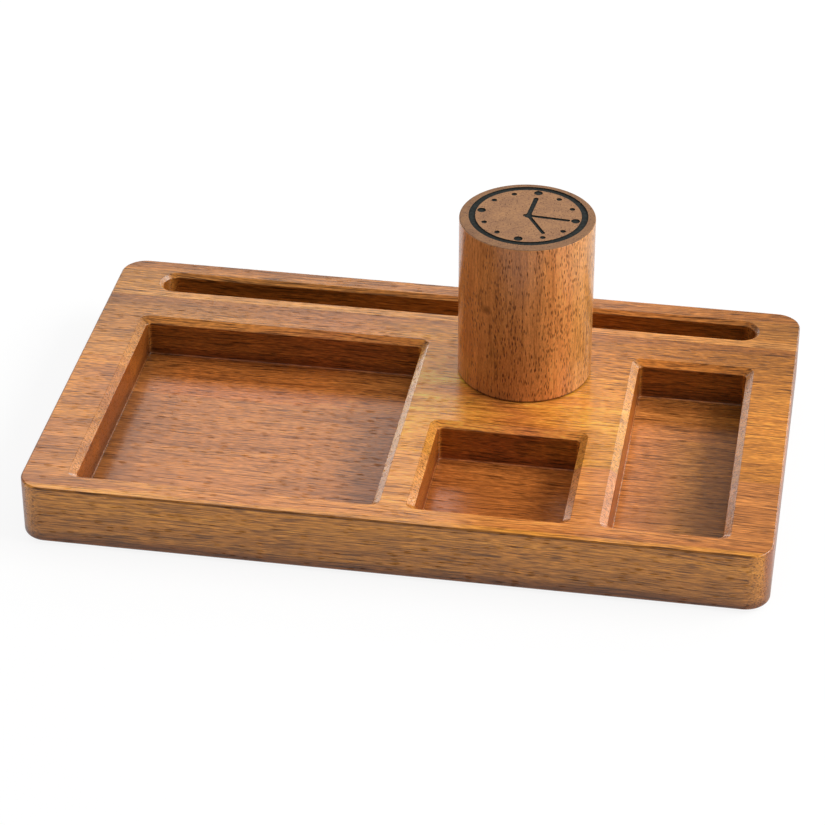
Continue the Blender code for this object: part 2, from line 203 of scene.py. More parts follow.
class StandWood(PropertyGroup):
    """Sizes and colours of the acacia."""

    ring_spacing: FloatProperty(
        name="Ring spacing", description="Distance from one growth ring to the next",
        default=4.5 * MM, unit="LENGTH")
    fibre_length: FloatProperty(
        name="Fibre length", description="Length of a fibre streak along the grain",
        default=3.4 * MM, unit="LENGTH")
    fibre_width: FloatProperty(
        name="Fibre width", description="Width of a fibre streak; real fibres are finer and would not show",
        default=0.45 * MM, unit="LENGTH")
    pore_length: FloatProperty(
        name="Pore length", description="Length of the cells that pores are strewn in, along the grain",
        default=6.0 * MM, unit="LENGTH")
    pore_width: FloatProperty(
        name="Pore width", description="Width of those cells, across the grain",
        default=1.0 * MM, unit="LENGTH")
    finish_roughness: FloatProperty(
        name="Finish roughness", description="Roughness of the satin oil finish",
        default=0.24, min=0.0, max=1.0, subtype="FACTOR")
    finish_ior: FloatProperty(
        name="Finish IOR", description="Refractive index of the oil finish", default=1.5, min=1.0, max=2.0)
    tan: FloatVectorProperty(
        name="Tan", description="Pale sapwood of the back board", subtype="COLOR", default=linear("#C07E35"))
    brown: FloatVectorProperty(
        name="Brown", description="Dull brown heartwood", subtype="COLOR", default=linear("#C07B34"))
    rose: FloatVectorProperty(
        name="Rose", description="Reddish heartwood", subtype="COLOR", default=linear("#C07637"))
    orange: FloatVectorProperty(
        name="Orange", description="Bright heartwood", subtype="COLOR", default=linear("#C0782C"))
    gold: FloatVectorProperty(
        name="Gold", description="Golden sapwood", subtype="COLOR", default=linear("#D38B30"))
    russet: FloatVectorProperty(
        name="Russet", description="Deep heartwood in pockets", subtype="COLOR", default=linear("#C06E30"))
    amber: FloatVectorProperty(
        name="Amber", description="Heartwood of the post", subtype="COLOR", default=linear("#C67E42"))
    cream: FloatVectorProperty(
        name="Cream", description="Palest sapwood, by the slot", subtype="COLOR", default=linear("#CC8C4A"))


class StandShape(PropertyGroup):
    """Sizes that a maker might change without touching the frame."""

    top_round: FloatProperty(
        name="Top round", description="Radius along the tray's top edge", default=0.8 * MM, unit="LENGTH")
    burn_colour: FloatVectorProperty(
        name="Burn", description="Char in the dial's marks", subtype="COLOR", default=linear("#1E2220"))


class StandStage(PropertyGroup):
    """Light and floor."""

    key_strength: FloatProperty(
        name="Key light", description="Radiance of the soft box on the right", default=7.9, min=0.0)
    ambient: FloatProperty(
        name="Ambient", description="Strength of the even light from above", default=0.65, min=0.0)


def mesh_piece(name, shape, materials=()):
    """Turn a bmesh into an object, smooth where its faces meet at a small angle."""
    bmesh.ops.recalc_face_normals(shape, faces=shape.faces)
    mesh = bpy.data.meshes.new(name)
    shape.to_mesh(mesh)
    shape.free()
    mesh.shade_smooth()
    mesh.set_sharp_from_angle(angle=SHARP_ABOVE)
    for material in materials:
        mesh.materials.append(material)
    item = bpy.data.objects.new(name, mesh)
    bpy.context.scene.collection.objects.link(item)
    return item


def cut(item, cutter, operation="DIFFERENCE"):
    """Cut an object with another by a Boolean modifier."""
    modifier = item.modifiers.new(cutter.name, "BOOLEAN")
    modifier.operation = operation
    modifier.solver = "EXACT"
    modifier.object = cutter


def settle(item):
    """Keep the mesh that the modifiers make, and shade it so that flat faces stay flat."""
    bpy.context.view_layer.update()
    depsgraph = bpy.context.evaluated_depsgraph_get()
    mesh = bpy.data.meshes.new_from_object(item.evaluated_get(depsgraph))
    item.modifiers.clear()
    item.data = mesh
    mesh.name = item.name
    mesh.shade_smooth()
    mesh.set_sharp_from_angle(angle=SHARP_ABOVE)
    weighted = item.modifiers.new("flat_faces_stay_flat", "WEIGHTED_NORMAL")
    weighted.keep_sharp = True


def discard(items):
    """Remove cutters that have done their work."""
    for item in items:
        bpy.data.objects.remove(item, do_unlink=True)


def stand_in(item, node):
    """Let a piece take a node's place on the frame."""
    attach(item, "root")
    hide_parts(node)


def rectangle_outline(x_range, y_range, radius, steps):
    """Points round a rectangle with round corners, anticlockwise seen from above."""
    radius = min(radius, (x_range[1] - x_range[0]) / 2, (y_range[1] - y_range[0]) / 2)
    corners = (
        (x_range[1] - radius, y_range[0] + radius, -90),
        (x_range[1] - radius, y_range[1] - radius, 0),
        (x_range[0] + radius, y_range[1] - radius, 90),
        (x_range[0] + radius, y_range[0] + radius, 180),
    )
    points = []
    for centre_x, centre_y, start in corners:
        for step in range(steps + 1):
            angle = math.radians(start + 90 * step / steps)
            points.append((centre_x + radius * math.cos(angle), centre_y + radius * math.sin(angle)))
    return points


def inset_outline(box, radius, inset, steps):
    """A rectangle given as x and y limits, drawn in by an inset, with the corner radius it then has."""
    x_range = (box[0] + inset, box[1] - inset)
    y_range = (box[2] + inset, box[3] - inset)
    return rectangle_outline(x_range, y_range, max(radius, LEAST_CORNER), steps)


def circle_outline(radius, sides):
    """Points round a circle about the origin, anticlockwise."""
    angles = [2 * math.pi * side / sides for side in range(sides)]
    return [(radius * math.cos(angle), radius * math.sin(angle)) for angle in angles]


def stacked_shape(levels):
    """A closed shape through outlines one above the other, each given with its height."""
    shape = bmesh.new()
    rings = [[shape.verts.new((x, y, z)) for x, y in outline] for outline, z in levels]
    for lower, upper in zip(rings, rings[1:]):
        for i in range(len(lower)):
            j = (i + 1) % len(lower)
            shape.faces.new((lower[i], lower[j], upper[j], upper[i]))
    shape.faces.new(list(reversed(rings[0])))
    shape.faces.new(rings[-1])
    return shape


def turned_shape(profile, sides):
    """A closed shape turned about Z from a profile of radii and heights, bottom first."""
    return stacked_shape([(circle_outline(radius, sides), z) for radius, z in profile])


def ring_shape(inner, outer, bottom, top, sides):
    """A flat ring with square edges about Z."""
    shape = bmesh.new()
    loops = [
        [shape.verts.new((x, y, z)) for x, y in circle_outline(radius, sides)]
        for radius, z in ((inner, bottom), (outer, bottom), (outer, top), (inner, top))
    ]
    for first, second in zip(loops, loops[1:] + loops[:1]):
        for i in range(sides):
            j = (i + 1) % sides
            shape.faces.new((first[i], first[j], second[j], second[i]))
    return shape


def rounded_corner(before, corner, after, radius):
    """Points of the arc that rounds the corner of a path in a plane."""
    corner = Vector(corner)
    to_before = (Vector(before) - corner).normalized()
    to_after = (Vector(after) - corner).normalized()
    half = to_before.angle(to_after) / 2
    reach = radius / math.tan(half)
    centre = corner + (to_before + to_after).normalized() * radius / math.sin(half)
    start = corner + to_before * reach - centre
    sweep = start.angle_signed(corner + to_after * reach - centre)
    points = []
    for step in range(ARC_STEPS + 1):
        angle = -sweep * step / ARC_STEPS
        cosine, sine = math.cos(angle), math.sin(angle)
        points.append(centre + Vector((start.x * cosine - start.y * sine, start.x * sine + start.y * cosine)))
    return points


def quarter_round(radius):
    """Insets and rises of a rounded edge, from its flat face to its side wall."""
    angles = [math.pi / 2 * step / ARC_STEPS for step in range(ARC_STEPS + 1)]
    return [(radius * (1 - math.sin(angle)), radius * (1 - math.cos(angle))) for angle in angles]


def eased_sides(low, high, bottom_round, top_round):
    """Insets and heights up a side, from a rounded bottom edge to a rounded top edge."""
    lower = [(inset, low + rise) for inset, rise in quarter_round(bottom_round)]
    upper = [(inset, high - rise) for inset, rise in quarter_round(top_round)]
    return lower + upper[::-1]


def panel_shape():
    """The whole panel before it is cut: round corners, a softer edge below than above."""
    box = (TRAY_LOW.x, TRAY_HIGH.x, TRAY_LOW.y, TRAY_HIGH.y)
    top_round = bpy.context.scene.stand_shape.top_round
    return stacked_shape([
        (inset_outline(box, TRAY_CORNER - inset, inset, CORNER_STEPS), z)
        for inset, z in eased_sides(TRAY_LOW.z, TRAY_HIGH.z, BOTTOM_ROUND, top_round)
    ])


def pocket_cutter(name, box, corners, chamfer, steps):
    """What a pocket takes out: a filleted floor, straight walls and a chamfer with softened edges.

    The profile is a path of insets from the rim and heights. It runs out of the top face at a low slope,
    so the rim's upper edge is rounded too.
    """
    wall_corner, rim_corner = corners
    width, drop = chamfer
    floor = TRAY_LOW.z + FLOOR_THICKNESS
    top = TRAY_HIGH.z
    flat = (-math.cos(RUN_OUT_SLOPE) * CUT_PAST, top + math.sin(RUN_OUT_SLOPE) * CUT_PAST)
    path = rounded_corner((width + 2 * POCKET_FILLET, floor), (width, floor), (width, top), POCKET_FILLET)
    path += rounded_corner((width, floor), (width, top - drop), (0.0, top), WALL_EDGE_ROUND)
    path += rounded_corner((width, top - drop), (0.0, top), flat, RIM_EDGE_ROUND)
    path += [Vector(flat), Vector((flat[0], top + CUT_PAST))]
    levels = []
    for inset, z in path:
        if inset > width:
            corner = wall_corner - (inset - width)
        else:
            corner = rim_corner + (wall_corner - rim_corner) * inset / width
        levels.append((inset_outline(box, corner, inset, steps), z))
    return mesh_piece(name, stacked_shape(levels))


def middle_of(node):
    """The middle of a node of the frame, seen from above."""
    low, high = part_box(node)
    return (low.x + high.x) / 2, (low.y + high.y) / 2


def hole_cutters():
    """Counterbored holes through the tray and on into the post."""
    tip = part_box(SCREWS[0])[1].z
    profile = (
        (COUNTERBORE_RADIUS, TRAY_LOW.z - CUT_PAST),
        (COUNTERBORE_RADIUS, TRAY_LOW.z + COUNTERBORE_DEPTH),
        (BORE_RADIUS, TRAY_LOW.z + COUNTERBORE_DEPTH),
        (BORE_RADIUS, tip + BORE_CLEARANCE),
    )
    holes = []
    for number, name in enumerate(SCREWS, start=1):
        hole = mesh_piece(f"hole_cutter_{number}", turned_shape(profile, SCREW_SIDES))
        hole.location = (*middle_of(name), 0.0)
        holes.append(hole)
    return holes


# What the wood of each board is like, with what most boards share first. Places are in metres
# pith, lean: where the tree's middle lay across the board, and how it leans along it
# tones: colours of StandWood along the board, or across the post, each with its strength and its place
# floor_tones_and_shade: the same for the wood at the pockets' floors, darker towards the pockets' side walls as
# painted shade
# bands: colours laid over, each with its strength, how much of it shows, its axis, and from where to where
# it fades in
# fall: a place, and how fast the wood darkens from it to the back, per metre
# stretch, finest: how long the streaks are, and how strongly the finest of them show
# lines, pores, arris: how strongly dark lines, pores and the dark front edge show
# pore_cell: how long and wide the pores' cells are, as shares of those of StandWood
# crowd: what share of the cells is left empty where pores are rarest, and where they crowd
# drift: how far the tones stray from their places
PLAIN_BOARD = {
    "floor_tones_and_shade": (), "bands": (), "fall": (0.0, 0.0), "stretch": 1.0, "finest": 1.7, "lines": 1.05,
    "arris": 0.0, "pore_cell": (1.0, 1.0), "crowd": (0.95, 0.25), "drift": 70 * MM,
}
BOARDS = {
    "rear_stave": {
        "pith": (0.052, -0.020), "lean": (-0.10, 0.03), "seed": (0.31, 0.07, 0.0),
        "tones": (("tan", 0.80, -0.15), ("tan", 0.83, -0.10), ("tan", 0.92, -0.045), ("tan", 0.96, 0.0),
                  ("brown", 1.05, 0.055), ("brown", 0.83, 0.11), ("brown", 0.62, 0.15)),
        "bands": (("cream", 0.92, 0.4, 1, 0.0675, 0.0665), ("rose", 0.84, 0.65, 1, 0.0825, 0.0850)),
        "fall": (0.072, 12.0), "stretch": 1.4, "lines": 1.3, "pores": 0.5,
    },
    "middle_rear_stave": {
        "pith": (0.075, -0.045), "lean": (0.05, 0.02), "seed": (0.90, 0.22, 0.05),
        "tones": (("brown", 0.75, -0.15), ("brown", 0.80, -0.125), ("brown", 0.94, -0.09),
                  ("rose", 1.06, -0.04), ("gold", 1.02, 0.0), ("gold", 0.70, 0.04), ("orange", 0.98, 0.095),
                  ("orange", 0.71, 0.15)),
        # The low stops at both ends of the floor tones are painted shade by the pockets' side walls
        "floor_tones_and_shade": (("rose", 0.48, -0.127), ("russet", 0.70, -0.110), ("russet", 0.75, -0.075),
                        ("russet", 0.98, -0.050), ("rose", 0.86, -0.020), ("rose", 0.82, 0.088),
                        ("rose", 0.60, 0.099), ("rose", 0.56, 0.112), ("brown", 0.48, 0.125)),
        "bands": (("rose", 0.80, 0.55, 1, 0.0560, 0.0580),),
        "fall": (0.036, 12.5), "lines": 1.15, "pores": 0.8,
    },
    "middle_front_stave": {
        "pith": (-0.060, -0.070), "lean": (0.04, -0.02), "seed": (1.70, 0.41, 0.11),
        "tones": (("orange", 1.05, -0.15), ("rose", 0.80, -0.125), ("rose", 1.08, -0.09),
                  ("rose", 1.18, -0.05), ("gold", 1.16, -0.005), ("russet", 0.88, 0.035),
                  ("orange", 1.16, 0.06), ("gold", 1.06, 0.08), ("orange", 0.90, 0.11), ("orange", 1.06, 0.15)),
        # The low stops at both ends of the floor tones are painted shade by the pockets' side walls
        "floor_tones_and_shade": (("rose", 0.50, -0.127), ("rose", 0.76, -0.112), ("rose", 0.98, -0.075),
                        ("rose", 1.06, -0.050), ("rose", 0.84, -0.020), ("russet", 0.80, 0.012),
                        ("russet", 0.78, 0.035), ("russet", 0.90, 0.060), ("rose", 0.98, 0.088),
                        ("rose", 0.74, 0.099), ("brown", 0.69, 0.112), ("brown", 0.58, 0.125)),
        "fall": (-0.015, -3.0), "pores": 0.45,
    },
    "front_stave": {
        "pith": (-0.035, 0.085), "lean": (-0.03, 0.015), "seed": (2.60, 0.63, 0.17),
        "tones": (("rose", 0.80, -0.15), ("brown", 1.14, -0.10), ("rose", 1.08, -0.05), ("brown", 1.20, 0.0),
                  ("rose", 1.22, 0.05), ("rose", 1.04, 0.10), ("rose", 0.80, 0.15)),
        # The low stops at both ends of the floor tones are painted shade by the pockets' side walls
        "floor_tones_and_shade": (("rose", 0.50, -0.127), ("rose", 0.78, -0.110), ("rose", 0.94, -0.075),
                        ("rose", 0.80, -0.050), ("rose", 1.0, -0.020), ("russet", 0.76, 0.012),
                        ("russet", 0.69, 0.035), ("russet", 0.77, 0.060), ("rose", 0.92, 0.088),
                        ("rose", 0.72, 0.099), ("brown", 0.60, 0.112), ("brown", 0.62, 0.125)),
        "bands": (("russet", 0.70, 0.35, 1, -0.0850, -0.0862), ("gold", 1.02, 0.7, 1, -0.0880, -0.0895),
                  # The brown and russet bands along z darken the front towards the bottom: painted shade near
                  # the floor, partly a reddish band in the wood
                  ("brown", 0.80, 0.8, 2, 0.022, 0.008), ("russet", 0.34, 0.9, 2, 0.0070, 0.0035)),
        "stretch": 1.8, "pores": 0.5, "arris": 1.0,
    },
}
POST_BOARD = {
    "pith": (-0.055, 0.010), "lean": (0.02, 0.03), "seed": (0.13, 0.50, 0.29),
    "tones": (("amber", 1.26, -0.028), ("amber", 0.96, -0.020), ("amber", 0.78, -0.012),
              ("amber", 0.80, -0.003), ("amber", 0.90, 0.007), ("amber", 1.16, 0.013), ("amber", 1.24, 0.019),
              ("cream", 1.10, 0.0245), ("cream", 0.80, 0.028)),
    "stretch": 0.35, "finest": 0.595, "lines": 0.5, "pores": 2.2, "pore_cell": (0.50, 0.62),
    "crowd": (0.85, 0.05), "drift": 10 * MM,
}

# Noise drawn out along the grain: its length, width and detail
WANDER = (110 * MM, 60 * MM, 1.0)
PORE_BANDS = (36 * MM, 7 * MM, 2.0)
DRIFT = (70 * MM, 9 * MM, 3.0)
# Streaks: the same, and how strongly each shows; the short and wide ones are the ripple
STREAKS = ((30 * MM, 0.9 * MM, 1.0, 0.25), (7 * MM, 18 * MM, 0.0, 0.12))
BROAD_STREAKS = ((60 * MM, 2.2 * MM, 1.0, 0.25), (140 * MM, 6 * MM, 1.0, 0.40))
# Dark lines between the fibres: the same, and where in its noise each starts
DARK_LINES = ((12 * MM, 0.5 * MM, 0.0, 0.85, 0.57), (70 * MM, 0.8 * MM, 1.0, 0.45, 0.54))
LINE_FADE = 0.18
# How strongly rings and pores show, and the finest streaks on faces across the fibres
RING_SHARE = 0.65
PORE_SHARE = 0.7
FINEST_ACROSS = 0.35
# What lines and pores take from the shade on average, which is given back to all of it
LINES_TAKE = 0.215
PORES_TAKE = 0.05
# How far the grain wanders, and how far bands and the floors' tones stray from their places
WANDER_REACH = 8 * MM
BAND_DRIFT = 4 * MM
FLOOR_DRIFT = 14 * MM
# Edge of a pore as a share of its cell, and of a band of pores in its noise
PORE_EDGE = (0.18, 0.40)
PORE_BAND_EDGE = (0.35, 0.65)
# How much thinner the post's pores are strewn on its left than on its right, per metre
PORES_TO_THE_RIGHT = 9.0
POST_KNOT = (-12.9 * MM, -24.9 * MM, 68.8 * MM)
KNOT_EDGE = (0.6 * MM, 2.6 * MM)

# What kind a face is, by how squarely it looks along an axis: from where that starts to where it is full
OUT_OF_FIBRES = (0.1, 0.7)
END_FACE = (0.60, 0.98)
LONG_WALL = (0.80, 0.98)
# Chamfers, which get a painted highlight or sheen
CHAMFER_OUTWARD = (0.35, 0.50)
CHAMFER_UPWARD = (0.60, 0.78)
# Slightly tilted faces, as in the creases at the pockets' floors, which get painted shade
SHADED_CREASE_LEVEL = (0.995, 0.97)
SHADED_CREASE_STEEP = (0.85, 0.89)
# The same by place: behind the front rim, down in the pockets, at the front edge, and at the post's foot, where
# shade is painted
BEHIND_RIM = (-88 * MM, -86 * MM)
DOWN_IN_POCKETS = (16 * MM, 12 * MM)
ARRIS_FORWARD = (-91.0 * MM, -91.6 * MM)
ARRIS_UPWARD = (TRAY_HIGH.z - 1.0 * MM, TRAY_HIGH.z - 0.5 * MM)
SHADED_POST_FOOT = (POST_LOW.z + 0.9 * MM, POST_LOW.z + 0.4 * MM)

# What a shade takes from red, green and blue: fine ones stay in tone, broad dark bands are redder
FINE_TINT = (1.0, 1.06, 1.12)
BROAD_TINT = (1.0, 1.22, 1.35)
# What oil leaves of red, green and blue on faces across the grain; painted shade on the front of the tray, and
# on its back and the pockets' walls that face front or back; then a painted highlight on chamfers along the
# grain and a painted sheen on those across it
END_TINT = (0.58, 0.44, 0.36)
FRONT_PAINTED_SHADE = (0.82, 0.80, 0.80)
WALL_PAINTED_SHADE = (0.56, 0.47, 0.41)
LONG_CHAMFER_PAINTED_HIGHLIGHT = (1.18, 1.11, 1.06)
CROSS_CHAMFER_PAINTED_SHEEN = (0.93, 1.01, 1.42)
PALEST = 0.92
# How strongly painted shade darkens the creases at the pockets' floors, with slightly tilted rounded edges, and
# the foot of the post, and how strongly its knot darkens the wood
CREASE_PAINTED_SHADE = 0.5
FOOT_PAINTED_SHADE = 0.9
KNOT_SHADE = 0.9
# Pores and faces across the grain are rougher than the finish, and pores shine less
PORE_ROUGHER = 0.20
END_ROUGHER = 0.12
PORE_DULLER = 0.4


def solid_acacia(name, board, upright=False):
    """Acacia, planed, sanded and oiled: satin, golden to russet, with open pores and a ribbon ripple.

    The texture is solid. Growth rings lie round the pith, fibres and pores run along the grain, and a
    ripple of interlocked grain crosses it. Shades add up as powers of e. The oil gives IOR 1.5; faces
    across the grain drink more of it, so they are darker and duller.
    """
    board = {**PLAIN_BOARD, **board}
    stretch = board["stretch"]
    wood = bpy.context.scene.stand_wood
    material, new = empty_material(name)

    def drawn_out(vector, length, width, detail):
        """Noise drawn out along the grain."""
        vector = new("Mapping", {"Vector": vector, "Scale": (1 / length, 1 / width, 1 / width)})[0]
        return new("TexNoise", {"Vector": vector, "Scale": 1.0, "Detail": detail})

    def streaked(kinds):
        """Streaks along the bent grain, each with how strongly it shows."""
        return [(drawn_out(fibres, length * stretch, width, detail)[0], share)
                for length, width, detail, share in kinds]

    def toned(colour_name, strength):
        """A colour of the wood at a strength."""
        return (*(strength * part for part in getattr(wood, colour_name)), 1.0)

    def summed(total, shares):
        """A total with shares added to it, each with how strongly it counts."""
        for share, weight in shares:
            total = new("Math", (share, weight, total), operation="MULTIPLY_ADD")[0]
        return total

    # The grain wanders a few millimetres over a hand's breadth
    place = new("TexCoord")
    middle = (*POST_MIDDLE, 0.0) if upright else (0.0, 0.0, 0.0)
    centred = new("VectorMath", (place["Object"], middle), operation="SUBTRACT")[0]
    x, y, z = new("SeparateXYZ", (centred,))[:3]
    turn = (0.0, math.radians(90), 0.0) if upright else (0.0, 0.0, 0.0)
    grain = new("Mapping", {"Vector": centred, "Rotation": turn})[0]
    seeded = new("VectorMath", (grain, board["seed"]), operation="ADD")[0]
    wander = drawn_out(seeded, *WANDER)["Color"]
    wander = new("VectorMath", (wander, (0.5, 0.5, 0.5)), operation="SUBTRACT")[0]
    reach = (0.0, WANDER_REACH, WANDER_REACH)
    bent = new("VectorMath", (wander, reach, grain), operation="MULTIPLY_ADD")[0]
    fibres = new("VectorMath", (bent, board["seed"]), operation="ADD")[0]

    facing = new("VectorMath", (place["Normal"],), operation="ABSOLUTE")[0]
    facing_x, facing_y, facing_z = new("SeparateXYZ", (facing,))[:3]
    across = facing_z if upright else facing_x

    # Growth rings round the pith, with broad streaks
    along = new("SeparateXYZ", (bent,))[0]
    leaning = new("VectorMath", {0: (0.0, *board["lean"]), 3: along}, operation="SCALE")[0]
    leaning = new("VectorMath", (bent, leaning), operation="ADD")[0]
    leaning = new("VectorMath", (leaning, (0.0, 1.0, 1.0)), operation="MULTIPLY")[0]
    radius = new("VectorMath", (leaning, (0.0, *board["pith"])), operation="DISTANCE")["Value"]
    rings = new("TexNoise", {"W": radius, "Scale": 1 / wood.ring_spacing, "Detail": 4.0, "Roughness": 0.7},
                noise_dimensions="1D")[0]
    broad = [(rings, RING_SHARE), *streaked(BROAD_STREAKS)]
    broad = summed(-sum(share for _, share in broad) / 2, broad)

    # Fine streaks, the finest only along the fibres, and dark lines between these
    streaks = streaked(STREAKS)
    finest = drawn_out(fibres, wood.fibre_length * stretch, wood.fibre_width, 1.0)[0]
    finest = new("Math", (finest, 0.5), operation="SUBTRACT")[0]
    share = board["finest"]
    share = new("MapRange", (across, *OUT_OF_FIBRES, share, share * FINEST_ACROSS))[0]
    streaks.append((finest, share))
    for length, width, detail, share, start in DARK_LINES:
        line = drawn_out(fibres, length * stretch, width, detail)[0]
        line = new("MapRange", (line, start, start + LINE_FADE), interpolation_type="SMOOTHSTEP")[0]
        streaks.append((line, -share * board["lines"]))
    fall_from, fall = board["fall"]
    given_back = LINES_TAKE * board["lines"] + PORES_TAKE * board["pores"]
    level = given_back + fall * fall_from - sum(kind[-1] for kind in STREAKS) / 2
    fibre = summed(level, streaks)

    # Pores: short dark dashes, thicker in some bands than in others
    length, width = board["pore_cell"]
    length, width = length * wood.pore_length, width * wood.pore_width
    cells = new("Mapping", {"Vector": fibres, "Scale": (1 / length, 1 / width, 1 / width)})[0]
    cells = new("TexVoronoi", {"Vector": cells, "Scale": 1.0})
    chance = new("SeparateColor", (cells["Color"],))[0]
    crowd = drawn_out(seeded, *PORE_BANDS)[0]
    crowd = new("MapRange", (crowd, *PORE_BAND_EDGE, *board["crowd"]))[0]
    if upright:
        crowd = summed(crowd, [(x, -PORES_TO_THE_RIGHT)])
    chance = new("Math", (chance, crowd), operation="GREATER_THAN")[0]
    pore = new("MapRange", (cells["Distance"], *PORE_EDGE, chance, 0.0))[0]

    # Shade of the pores, of the fall to the back, of the dark front edge and of the knot; painted shade in the
    # creases, on rounded edges and at the post's foot
    shades = [(pore, -PORE_SHARE * board["pores"]), (y, -fall)]
    if board["arris"]:
        upward = new("MapRange", (z, *ARRIS_UPWARD))[0]
        arris = new("MapRange", (y, *ARRIS_FORWARD, 0.0, upward))[0]
        shades.append((arris, -board["arris"]))
    if upright:
        # Painted shade at the post's foot, where it stands on the tray
        foot = new("MapRange", (z, *SHADED_POST_FOOT))[0]
        knot = new("VectorMath", (centred, POST_KNOT), operation="DISTANCE")["Value"]
        knot = new("MapRange", (knot, *KNOT_EDGE, 1.0, 0.0))[0]
        shades += [(foot, -FOOT_PAINTED_SHADE), (knot, -KNOT_SHADE)]
    else:
        # Painted shade in the creases where the pockets' floors meet their walls, and on slightly tilted
        # rounded edges
        not_steep = new("MapRange", (facing_z, *SHADED_CREASE_STEEP))[0]
        painted_crease_shade = new("MapRange", (facing_z, *SHADED_CREASE_LEVEL, 0.0, not_steep))[0]
        shades.append((painted_crease_shade, -CREASE_PAINTED_SHADE))
    shade = summed(fibre, shades)

    # Tones along the board or across the post, bands of other tones, and the tones of the pockets' floors, with
    # painted shade by their side walls
    drift = drawn_out(seeded, *DRIFT)[0]

    def tones_along(tones, reach):
        """Colours that follow one another along x, each straying from its place by up to half the reach."""
        first, last = tones[0][2], tones[-1][2]
        run = summed(x, [(drift, reach)])
        run = new("MapRange", (run, first + reach / 2, last + reach / 2))[0]
        tone = new("ValToRGB", (run,))[0]
        stops = tone.node.color_ramp.elements
        while len(stops) < len(tones):
            stops.new(0.5)
        for stop, (colour_name, strength, spot) in zip(stops, tones):
            stop.position = (spot - first) / (last - first)
            stop.color = toned(colour_name, strength)
        return tone

    tone = tones_along(board["tones"], board["drift"])
    for colour_name, strength, most, side, start, full in board["bands"]:
        spot = summed((x, y, z)[side], [(drift, BAND_DRIFT)])
        share = new("MapRange", (spot, start + BAND_DRIFT / 2, full + BAND_DRIFT / 2, 0.0, most))[0]
        tone = new("Mix", {0: share, 6: tone, 7: toned(colour_name, strength)}, data_type="RGBA")[2]
    inside = new("MapRange", (y, *BEHIND_RIM))[0]
    # The floors' own tones, darkened towards the pockets' side walls as painted shade
    if board["floor_tones_and_shade"]:
        low = new("MapRange", (z, *DOWN_IN_POCKETS, 0.0, inside))[0]
        floor_tone_and_shade = tones_along(board["floor_tones_and_shade"], FLOOR_DRIFT)
        tone = new("Mix", {0: low, 6: tone, 7: floor_tone_and_shade}, data_type="RGBA")[2]
    powers = [summed(0.0, ((shade, fine), (broad, wide))) for fine, wide in zip(FINE_TINT, BROAD_TINT)]
    powers = [new("Math", (power,), operation="EXPONENT")[0] for power in powers]
    powers = new("CombineXYZ", powers)[0]
    colour = new("VectorMath", (tone, powers), operation="MULTIPLY")[0]

    # Faces across the grain drink more oil; the front of the tray and the walls that face front or back get
    # painted shade, and chamfers a painted highlight or sheen
    end = new("MapRange", (across, *END_FACE))[0]
    tints = [(end, END_TINT)]
    if not upright:
        # Painted shade on faces that look front or back: the tray's front, and behind the rim its back and the
        # walls of pockets and slot
        shaded_wall = new("MapRange", (facing_y, *LONG_WALL))[0]
        walls = {0: inside, 6: (*FRONT_PAINTED_SHADE, 1.0), 7: (*WALL_PAINTED_SHADE, 1.0)}
        tints.append((shaded_wall, new("Mix", walls, data_type="RGBA")[2]))
        # Painted highlight on chamfers that face front or back, and painted sheen, paler and whiter, on those
        # that face the sides
        upward = new("MapRange", (facing_z, *CHAMFER_UPWARD))[0]
        for outward, tint in ((facing_y, LONG_CHAMFER_PAINTED_HIGHLIGHT), (facing_x, CROSS_CHAMFER_PAINTED_SHEEN)):
            chamfer = new("MapRange", (outward, *CHAMFER_OUTWARD, 0.0, upward))[0]
            tints.append((chamfer, tint))
    for share, tint in tints:
        tinted = new("VectorMath", (colour, tint), operation="MULTIPLY")[0]
        colour = new("Mix", {0: share, 6: colour, 7: tinted}, data_type="RGBA")[2]
    colour = new("VectorMath", (colour, (PALEST, PALEST, PALEST)), operation="MINIMUM")[0]

    rough = summed(wood.finish_roughness, [(pore, PORE_ROUGHER), (end, END_ROUGHER)])
    gloss = summed(0.5, [(pore, -PORE_DULLER)])
    relief = summed(fibre, [(pore, -1.0)])
    bump = new("Bump", {"Height": relief, "Strength": 0.25, "Distance": 0.04 * MM})[0]
    shader = new("BsdfPrincipled", {"Base Color": colour, "Roughness": rough, "Normal": bump,
                                    "Specular IOR Level": gloss, "IOR": wood.finish_ior})[0]
    new("OutputMaterial", {"Surface": shader})
    return material


# Sanded end grain: spacing of its pores, their edge as a share of that, and the share of them that is not
# there; its clouds, its grit and how strongly that shows; and how pale it is inside the ring and outside
END_PORE_SPACING = 0.9 * MM
END_PORE_EDGE = (0.18, 0.38)
END_PORES_ABSENT = 0.62
CLOUD_SIZE = 9 * MM
GRIT_SIZE = 0.9 * MM
GRIT_SHARE = 1.3
DIAL_PALENESS = (1.22, 0.95)
# Patterns of char, zinc and rubber; the laser's passes, 0.1 mm apart, are drawn coarser so that they show
ASH_SIZE = 1.4 * MM
LASER_PASS = 0.5 * MM
HAZE_SIZE = 1.5 * MM
TURNING_MARK = 0.15 * MM
DUST_SIZE = 3 * MM
PEBBLE_SIZE = 0.35 * MM


